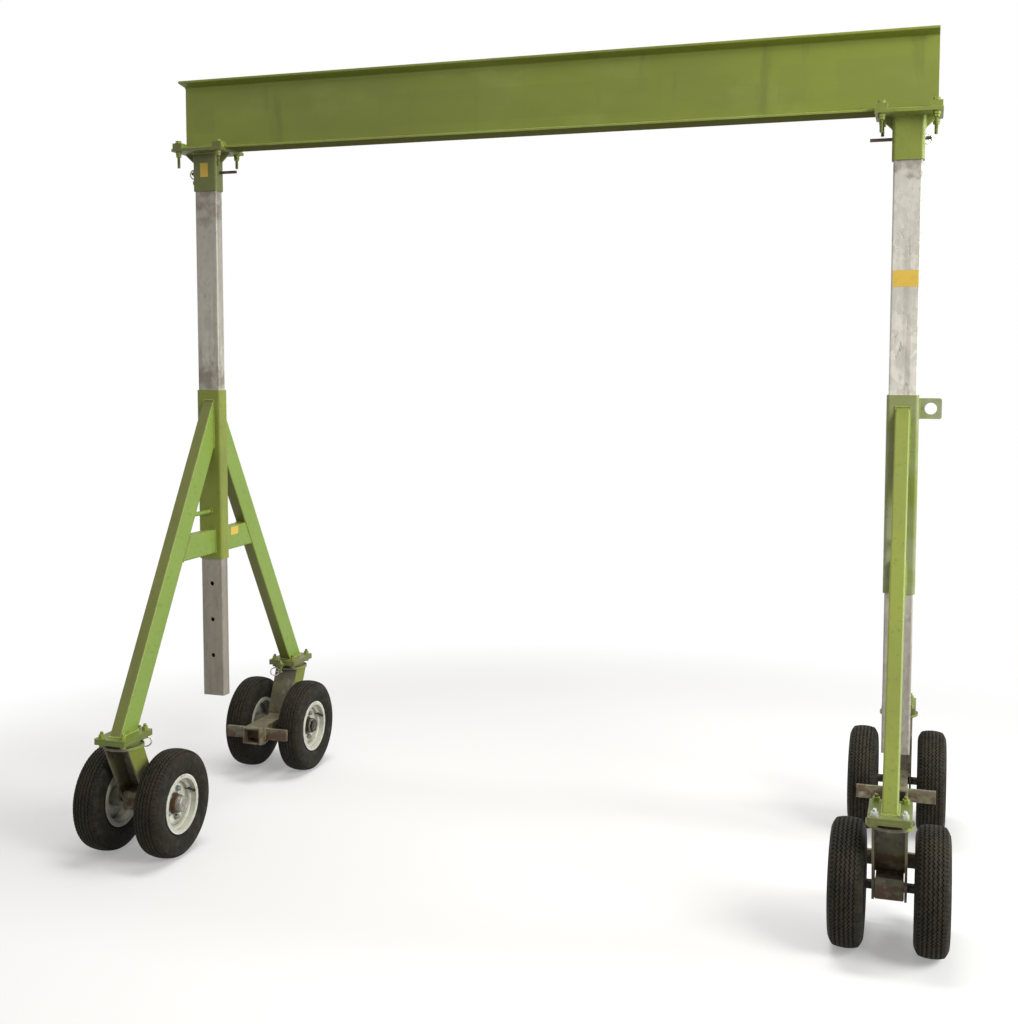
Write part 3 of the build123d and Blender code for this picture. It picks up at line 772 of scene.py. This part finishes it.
def dress_wheel(corner, side, turn):
    """Tyre, lug nuts, valve, hub drum and, except where it is lost, dust cap of one wheel."""
    place, centre, outward = wheel_place(corner, side)
    quarters, degrees = divmod(turn, 90)
    spin, step = rotation(degrees, "X"), rotation(90 * quarters, "X")
    body = f"wheel_{corner}_{side}"
    name = f"{corner}_{side}"

    tyre = tyre_mesh()
    tyre.points = [spin @ point for point in tyre.points]
    skin = tyre.piece(f"tyre_skin_{name}", body, "tyre_rubber", sharp=28, place=place @ step)
    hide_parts(f"tyre_{name}")

    for slot in frame["nodes"][f"wheel_{name}"].material_slots:
        slot.material = rim_paint(f"rim_paint_{name}", centre, outward)

    nuts = Shape()
    for turned in round_angles(LUG_COUNT):
        angle = math.radians(LUG_START) + turned
        stud = place @ Matrix.Translation(spoke(0, LUG_CIRCLE, angle))
        nuts.lathe(((NAVE_FACE - 0.0002, 0.0125), (NAVE_FACE + 0.002, 0.0125),
                    (NAVE_FACE + 0.0024, 0.0118)), stud, lug_finish, 28)
        nuts.hexagon(NAVE_FACE + 0.0022, NAVE_FACE + 0.0125, 0.019, stud, lug_finish)
        nuts.thread(NAVE_FACE + 0.0124, NAVE_FACE + 0.0175, 0.006, 0.00125, stud, lug_finish)
    nuts.piece(f"lug_nuts_{name}", body, "rim_paint")

    valve = Shape()
    foot, tip = Vector(VALVE_FOOT), Vector(VALVE_TIP)
    lean = (tip - foot).normalized()
    knee = foot + Vector((0.008, 0, 0))
    path = [foot - Vector((0.004, 0, 0)), foot, knee, knee.lerp(tip, 0.35),
            knee.lerp(tip, 0.7), tip]
    valve.sweep([place @ p for p in path], [0.0060, 0.0058, 0.0046, 0.0042, 0.0041, 0.0041],
                valve_finish, 16)
    cap = [tip - lean * 0.009, tip - lean * 0.0088, tip + lean * 0.0008, tip + lean * 0.0016]
    valve.sweep([place @ p for p in cap], [0.0040, 0.0052, 0.0050, 0.0034], valve_finish, 16)
    valve.piece(f"valve_{name}", body, "dark_steel")

    hub = Shape()
    drum_finish = cap_dark if corner == "back_left" else hub_finish
    hub.lathe(HUB_DRUM, place, drum_finish, 48, closed=True)
    cap_finish = cap_grey if corner == "front_left" else cap_dark
    if corner != "back_left":
        hub.lathe(DUST_CAP, place, cap_finish, 48, closed=True)
    hub.piece(f"hub_{name}", body, "dark_steel")


def bolt_with_nut(shape, place, head_at, nut_at, across, radius, finish, nut_finish=None):
    """Bolt along local X: its head sits from head_at on, and its nut faces the other way."""
    def washer(level, side, metal):
        shape.lathe(((level, 0.62 * across), (level + side * 0.0022, 0.62 * across),
                     (level + side * WASHER, 0.58 * across)), place, metal, 32)

    nut_finish = nut_finish or finish
    way = 1 if head_at > nut_at else -1
    washer(head_at, way, finish)
    seat, top = head_at + way * WASHER, head_at + way * (WASHER + 1.24 * radius)
    shape.hexagon(min(seat, top), max(seat, top), across, place, finish,
                  chamfer=(way < 0, way > 0))
    washer(nut_at, -way, nut_finish)
    start = nut_at - way * WASHER
    low, high = sorted((start, start - way * 1.7 * radius))
    shape.hexagon(low, high, across, place, nut_finish)
    return start - way * 1.7 * radius


def linch_pin(name, ends, centre, reach, drop):
    """Straight pin between two points, and its ring with two half axes about a centre."""
    linch = Shape()
    linch.sweep(ends, LINCH_BODY, wire_bright, 14)
    ring = [centre + reach * math.cos(a) + drop * math.sin(a) for a in round_angles(LINCH_STEPS)]
    linch.sweep(ring, LINCH_WIRE, wire_bright, 12, closed=True)
    linch.piece(name, "frame", "dark_steel")


def dress_heads():
    """Clip bolts with double nuts, and the linch pin at each head pin's outer end."""
    for side, sign in (("left", -1), ("right", 1)):
        x = middle(f"mast_{side}").x
        clip_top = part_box("head_clips")[1].z
        plate_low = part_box(f"head_{side}")[1].z - PLATE_THICKNESS
        bolts = Shape()
        for bx in (-CLIP_BOLT_X, CLIP_BOLT_X):
            for by in (-CLIP_BOLT_Y, CLIP_BOLT_Y):
                place = Matrix.Translation((x + bx, by, 0)) @ UPRIGHT
                end = bolt_with_nut(bolts, place, clip_top, plate_low, CLIP_BOLT_ACROSS,
                                    CLIP_BOLT_RADIUS, bolt_green)
                bolts.hexagon(end - 0.0085, end - 0.0002, LOCK_NUT_ACROSS, place, bolt_green)
                drop = 0.066 if by < 0 else 0.056
                bolts.thread(end - 0.0084, plate_low - drop, CLIP_BOLT_RADIUS, 0.00175, place,
                             thread_green)
        bolts.piece(f"head_bolts_{side}", "frame", "green_paint")

        pin_end = x + sign * 0.070
        turn = Matrix.Rotation(math.radians(40), 3, "Z")
        linch_pin(f"head_linch_{side}",
                  [(pin_end, 0, HEAD_PIN_LEVEL - 0.011), (pin_end, 0, HEAD_PIN_LEVEL + 0.012)],
                  Vector((pin_end - sign * 0.004, 0, HEAD_PIN_LEVEL - 0.004)),
                  turn @ Vector((0.0165, 0, 0)), Vector((0, 0, 0.0185)))


def dress_castor(corner):
    """Plate bolts, the locking pin's linch pin, the arm's end plate and the fork's welds."""
    place = castor_place(corner)
    foot_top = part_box("foot_plates")[1].z
    castor_low = foot_top - FOOT_STACK
    bolts = Shape()
    for bx in (-CASTOR_BOLT_X, CASTOR_BOLT_X):
        for by in (-CASTOR_BOLT_Y, CASTOR_BOLT_Y):
            stand = place @ Matrix.Translation((bx, by, 0)) @ UPRIGHT
            shiny = corner == "front_right" and by < 0
            metal = zinc_bolt if shiny else bolt_green
            nut_top = bolt_with_nut(bolts, stand, castor_low, foot_top, CASTOR_BOLT_ACROSS,
                                    CASTOR_BOLT_RADIUS, bolt_green, metal)
            bolts.thread(nut_top - 0.0002, nut_top + 0.010, CASTOR_BOLT_RADIUS, 0.002, stand,
                         metal if shiny else thread_green)
    bolts.piece(f"castor_bolts_{corner}", "frame", "green_paint")

    level = LOCK_LINCH_LEVEL
    linch_pin(f"lock_linch_{corner}",
              [place @ Vector((x, LOCK_PIN_Y, level)) for x in (-0.012, 0.020)],
              place @ Vector((0.034, LOCK_PIN_Y - 0.010, level - 0.004)),
              place.to_3x3() @ Vector((0.0175, 0.010, 0)), Vector((0, 0, 0.0185)))

    low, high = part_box(f"arm_{corner}")
    end = Shape()
    stand = place @ Matrix.Translation((0, ARM_START - 0.0002, (low.z + high.z) / 2))
    end.plate(0.092, 0.070, 0.003, 0.006, stand @ rotation(90, "X"), arm_finish)
    end.piece(f"arm_end_{corner}", f"swivel_{corner}", "castor_steel")

    def seam(start, end, finish, radius):
        seams.weld([place @ Vector(start), place @ Vector(end)], finish, radius)

    seams = Shape()
    for sx in (-1, 1):
        cheek, beside, inside = (sx * (FORK_HALF_WIDTH + 0.0005), sx * (ARM_HALF_WIDTH + 0.0005),
                                 sx * (ARM_HALF_WIDTH + 0.0015))
        seam((cheek, -0.046, TURNTABLE_UNDERSIDE), (cheek, 0.046, TURNTABLE_UNDERSIDE),
             castor_dull, 0.0030)
        for y in CROSSBAR_FACES:
            seam((beside, y, CROSSBAR_WELD_LEVELS[0]), (beside, y, CROSSBAR_WELD_LEVELS[1]),
                 rust_weld, 0.0032)
        seam((inside, 0.125, high.z - 0.001), (inside, 0.152, high.z - 0.001), castor_dull, 0.0028)
    for y in CROSSBAR_FACES:
        seam((-0.040, y, high.z - 0.0115), (0.040, y, high.z - 0.0115), rust_weld, 0.0030)
    seams.piece(f"seams_{corner}", f"swivel_{corner}", "castor_steel")


def ring_weld(shape, centre, half_x, half_v, v, radius):
    """Weld around a rectangle whose sides lie along X and the direction v."""
    centre, u, v = Vector(centre), Vector((half_x, 0, 0)), Vector(v) * half_v
    shape.weld([centre - u - v, centre + u - v, centre + u + v, centre - u + v], weld_green,
               radius, closed=True)


def dress_frame():
    """Weld seams of the end frames, and the collars and linch pins of the height pins."""
    for side in SIDES:
        x = middle(f"mast_{side}").x
        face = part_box(f"sleeve_{side}")[1].y
        seams = Shape()
        for sy in (-1, 1):
            ring_weld(seams, (x, sy * LEG_FOOT_Y, LEG_BOTTOM), LEG_HALF_WIDTH + 0.001,
                      LEG_FOOT_HALF_DEPTH + 0.001, (0, 1, 0), 0.0042)
            ring_weld(seams, (x, sy * face, LEG_TOP - LEG_TOP_HEIGHT / 2), LEG_HALF_WIDTH,
                      LEG_TOP_HEIGHT / 2, (0, 0, 1), 0.0036)
            ring_weld(seams, (x, sy * face, sum(BRACE_LEVELS) / 2), LEG_HALF_WIDTH,
                      (BRACE_LEVELS[1] - BRACE_LEVELS[0]) / 2, (0, 0, 1), 0.0034)
            run = LEG_FOOT_Y - LEG_FOOT_HALF_DEPTH - face
            slope = run / (LEG_TOP - LEG_TOP_HEIGHT - LEG_BOTTOM)
            ends = []
            for sx, level in ((-1, 0), (1, 0), (1, 1), (-1, 1)):
                z = BRACE_LEVELS[level]
                y = LEG_FOOT_Y - LEG_FOOT_HALF_DEPTH - slope * (z - LEG_BOTTOM)
                ends.append((x + sx * LEG_HALF_WIDTH, sy * y, z))
            seams.weld(ends, weld_green, 0.0034, closed=True)
        plate_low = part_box(f"head_{side}")[1].z - PLATE_THICKNESS
        ring_weld(seams, (x, 0, plate_low), 0.0545, 0.0295, (0, 1, 0), 0.0045)
        for sx in (-1, 1):
            for sy in (-1, 1):
                foot = (x + sx * 0.0562, sy * 0.0042, plate_low - 0.046)
                root = (x + sx * 0.0562, sy * 0.0042, plate_low)
                tip = (x + sx * 0.104, sy * 0.0042, plate_low)
                seams.weld([foot, root, tip], weld_green, 0.0026)
        seams.piece(f"seams_{side}", "frame", "green_paint")

        collars = Shape()
        along = Matrix.Translation((x, 0, HEIGHT_PIN_LEVEL)) @ rotation(90, "Z")
        for start, end in ((-face - 0.0065, -face - 0.0002), (face + 0.0002, face + 0.0055)):
            collars.lathe(((start, 0.0088), (start, 0.0150), (start + 0.001, 0.0160),
                           (end - 0.001, 0.0160), (end, 0.0150), (end, 0.0088)), along,
                          bolt_green, 36, closed=True)
        collars.piece(f"height_pin_collars_{side}", "frame", "green_paint")

        tail = face + 0.024
        linch_pin(f"height_linch_{side}",
                  [(x, tail, HEIGHT_PIN_LEVEL - 0.014), (x, tail, HEIGHT_PIN_LEVEL + 0.014)],
                  Vector((x, tail, HEIGHT_PIN_LEVEL - 0.005)),
                  Vector((0.019, 0.009, 0)), Vector((0, 0, 0.019)))

    lug_low, lug_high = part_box("tie_lug")
    lug = Shape()
    for sy in (-1, 1):
        lug.weld([(lug_low.x + 0.0008, sy * 0.0062, lug_low.z + 0.002),
                  (lug_low.x + 0.0008, sy * 0.0062, lug_high.z - 0.002)], weld_green, 0.0036)
    lug.piece("lug_seams", "frame", "green_paint")

    screw = Shape()
    place = Matrix.Translation((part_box("mast_left")[0].x - 0.006, 0, 2.660)) @ rotation(180, "Z")
    screw.lathe(((0.0, 0.0145), (0.0035, 0.0145), (0.0045, 0.0135)), place, bolt_green, 32)
    screw.hexagon(0.0044, 0.0115, 0.021, place, bolt_green, chamfer=(False, True))
    screw.piece("head_set_screw", "frame", "green_paint")


def dress_labels():
    """Plain yellow stickers on the right mast, the left head and the left back brace."""
    front = rotation(90, "X")
    side = rotation(90, "Z") @ front
    mast_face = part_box("mast_right")[0].y - SKIN_GAP
    head_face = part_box("sleeve_left")[0].y - SKIN_GAP
    brace_face = middle("mast_left").x + LEG_HALF_WIDTH + SKIN_GAP
    for name, width, length, corner, place, turn in (
            ("mast", 0.088, 0.058, 0.003, (middle("mast_right").x, mast_face, 2.2065), front),
            ("head", 0.036, 0.058, 0.002, (-1.404, head_face, 2.708), front),
            ("brace", 0.062, 0.034, 0.002, (brace_face, 0.128, 1.180), side)):
        label = Shape()
        label.plate(width, length, STICKER_THICKNESS, corner, Matrix.Translation(place) @ turn,
                    label_finish)
        label.piece(f"label_{name}", "frame", "green_paint")


def lamp(name, place, aim, size, power, colour):
    data = bpy.data.lights.new(name, "AREA")
    data.shape = "RECTANGLE"
    data.size, data.size_y = size
    data.energy = power
    data.color = colour
    made = add_object(name, data)
    made.location = place
    made.rotation_euler = (Vector(aim) - Vector(place)).to_track_quat("-Z", "Y").to_euler()
    made.visible_camera = False


def seen_rays(tree):
    """1 for camera, glossy and transmission rays, 0 for the rays that light the object."""
    path = tree.nodes.new("ShaderNodeLightPath")
    total = path.outputs["Is Camera Ray"]
    for kind in ("Is Glossy Ray", "Is Transmission Ray"):
        total = add_node(tree, "ShaderNodeMath", (total, path.outputs[kind]),
                         operation="MAXIMUM").outputs[0]
    return total


AMBIENT = 0.38
FLOOR_HALF = 9.0
FLOOR_DIFFUSE = 0.50
FLOOR_GLOW = 0.30
FLOOR_FADE = (2.3, 3.8)
AMBIENT_COLOUR = (1.0, 0.97, 0.93, 1)

# Each lamp's name, place, aim, size, power and colour
LAMPS = (
    ("lamp_top", (0.0, 0.3, 6.2), (0, 0, 0), (3.2, 2.0), 300, (1.0, 0.99, 0.97)),
    ("lamp_right", (4.8, -2.6, 3.6), (1.0, 0, 1.2), (2.4, 2.4), 262, (1.0, 1.0, 0.97)),
    ("lamp_side", (6.0, 0.5, 2.6), (-0.6, 0, 1.0), (2.0, 2.6), 160, (0.97, 1.0, 0.97)),
    ("lamp_front", (-1.5, -6.5, 3.4), (0, 0, 1.4), (4.0, 3.0), 10, (1.0, 0.93, 0.86)),
)


def make_studio():
    """White surroundings, a pale floor that keeps soft shadows, and four lamps."""
    world = bpy.data.worlds.new("studio")
    bpy.context.scene.world = world
    world.use_nodes = True
    tree = world.node_tree
    ambient = tree.nodes["Background"]
    ambient.inputs["Color"].default_value = AMBIENT_COLOUR
    ambient.inputs["Strength"].default_value = AMBIENT
    white = add_node(tree, "ShaderNodeBackground", ((1, 1, 1, 1),))
    choose = add_node(tree, "ShaderNodeMixShader",
                      (seen_rays(tree), ambient.outputs[0], white.outputs[0]))
    tree.links.new(choose.outputs[0], tree.nodes["World Output"].inputs[0])

    mesh = bpy.data.meshes.new("floor")
    size = FLOOR_HALF
    mesh.from_pydata([(-size, -size, 0), (size, -size, 0), (size, size, 0), (-size, size, 0)], [],
                     [(0, 1, 2, 3)])
    floor = add_object("floor", mesh)

    material = bpy.data.materials.new("floor")
    material.use_nodes = True
    tree = material.node_tree
    tree.nodes.remove(tree.nodes["Principled BSDF"])
    matt = add_node(tree, "ShaderNodeBsdfDiffuse", ((*[FLOOR_DIFFUSE] * 3, 1),))
    glow = add_node(tree, "ShaderNodeEmission", ((*[FLOOR_GLOW] * 3, 1), seen_rays(tree)))
    lit = add_node(tree, "ShaderNodeAddShader", (matt.outputs[0], glow.outputs[0]))
    far = add_node(tree, "ShaderNodeEmission", ((1, 1, 1, 1), seen_rays(tree)))
    coordinates = tree.nodes.new("ShaderNodeTexCoord")
    length = add_node(tree, "ShaderNodeVectorMath", (coordinates.outputs["Object"],),
                      operation="LENGTH")
    fade = add_node(tree, "ShaderNodeMapRange", (length.outputs["Value"], *FLOOR_FADE),
                    interpolation_type="SMOOTHSTEP")
    blend = add_node(tree, "ShaderNodeMixShader",
                     (fade.outputs[0], lit.outputs[0], far.outputs[0]))
    tree.links.new(blend.outputs[0], tree.nodes["Material Output"].inputs[0])
    mesh.materials.append(material)

    for name, place, aim, size, power, colour in LAMPS:
        lamp(name, place, aim, size, power, colour)


def make_camera():
    camera = add_object("camera", bpy.data.cameras.new("camera"))
    camera.location = CAMERA_PLACE
    camera.rotation_euler = (math.radians(90 - CAMERA_PITCH), 0, math.radians(CAMERA_YAW))
    data = camera.data
    long_side = max(IMAGE_SIZE)
    data.lens = data.sensor_width * FOCAL_PIXELS / long_side
    data.shift_x = (IMAGE_SIZE[0] / 2 - CENTRE_PIXEL[0]) / long_side
    data.shift_y = (CENTRE_PIXEL[1] - IMAGE_SIZE[1] / 2) / long_side
    bpy.context.scene.camera = camera


# Finishes
# The frame's paint carries painted light on faces towards +X and painted shade on faces towards the
# front
paint = green_paint("frame_paint", lit_side_share=0.7, front_shade_share=0.6)
sleeve_paint = green_paint("sleeve_paint", PAINT_OLIVE, PAINT_GREEN, 0.6)
chalky_paint = green_paint("chalky_paint", PAINT_OLIVE, PAINT_CHALKY, 0.8)
# The left head has a darker copy of the green paint: painted shade for the head under the beam
shaded_head_paint = green_paint("shaded_head_paint", PAINT_HEAD_SHADE, PAINT_MUD, 0.5)
plate_paint = green_paint("plate_paint", PAINT_LOW, PAINT_MUD, 0.35)
bolt_green = green_paint("bolt_green", PAINT_GREEN, PAINT_OLIVE, 0.35, 0)
thread_green = green_paint("thread_green", PAINT_OLIVE, PAINT_DARK, 0.3, 0)
weld_green = green_paint("weld_green", PAINT_GREEN, PAINT_OLIVE, 0.2, 0)
arm_finish = castor_steel("arm_steel", ((0.19, 0.235),), 0.85, 1.0)
castor_dull = castor_steel("castor_weld", (), 0.3, 0.45)
rust_weld = castor_steel("rust_weld", (), 1.0, 1.0)
axle_finish = oily_steel("axle_steel")
pin_finish = oily_steel("pin_steel", PIN_BROWN, PIN_LIGHT)
tyre_finish = tyre_rubber()
hub_finish = rusty_hub()
lug_finish = bright_steel("lug_steel", LUG_GREY, 0.4)
wire_bright = bright_steel("wire_steel", WIRE_PALE, 0.6)
zinc_bolt = bright_steel("zinc_bolt", ZINC_BRIGHT, 0.6)
cap_grey = bright_steel("cap_grey", CAP_GREY, 0.5)
cap_dark = oily_steel("cap_dark", CAP_BROWN, CAP_LIGHT)
valve_finish = black_rubber()
label_finish = label_vinyl()

NODE_FINISHES = {
    "beam": beam_paint(),
    "mast_left": galvanised("mast_left_zinc", ZINC_WARM, ZINC_GREY,
                            ((1.90, 1.96), (2.58, 2.72))),
    "mast_right": galvanised("mast_right_zinc", ZINC_PALE, ZINC_LIGHT,
                             ((2.66, 2.76),)),
    # Painted shade: the left head takes the darker paint
    "head_left": shaded_head_paint,
    "sleeve_left": sleeve_paint,
    "sleeve_right": chalky_paint,
    "tie_lug": chalky_paint,
    "head_pins": pin_finish,
    "foot_plates": plate_paint,
    "castor_plates": plate_paint,
}
for corner in CORNERS:
    axis = castor_place(corner).translation
    rust_top = 0.325 if corner == "front_right" else 0.285
    NODE_FINISHES[f"fork_{corner}"] = castor_steel(
        f"fork_steel_{corner}", ((0.255, rust_top),), 0.22, 0.370, axis)
    NODE_FINISHES[f"arm_{corner}"] = arm_finish
    NODE_FINISHES[f"axle_{corner}"] = axle_finish
for name, node in frame["nodes"].items():
    for slot in node.material_slots:
        slot.material = NODE_FINISHES.get(name, paint)

# Each wheel has stopped at another angle, in degrees
TURNS = {"front_left_a": 0, "front_left_b": 121, "front_right_a": 198, "front_right_b": 50,
         "back_left_a": 311, "back_left_b": 90, "back_right_a": 12, "back_right_b": 153}
for corner in CORNERS:
    dress_castor(corner)
    for side in WHEELS:
        dress_wheel(corner, side, TURNS[f"{corner}_{side}"])
dress_heads()
dress_frame()
dress_labels()
make_camera()
make_studio()
bpy.context.scene.view_settings.view_transform = "Standard"
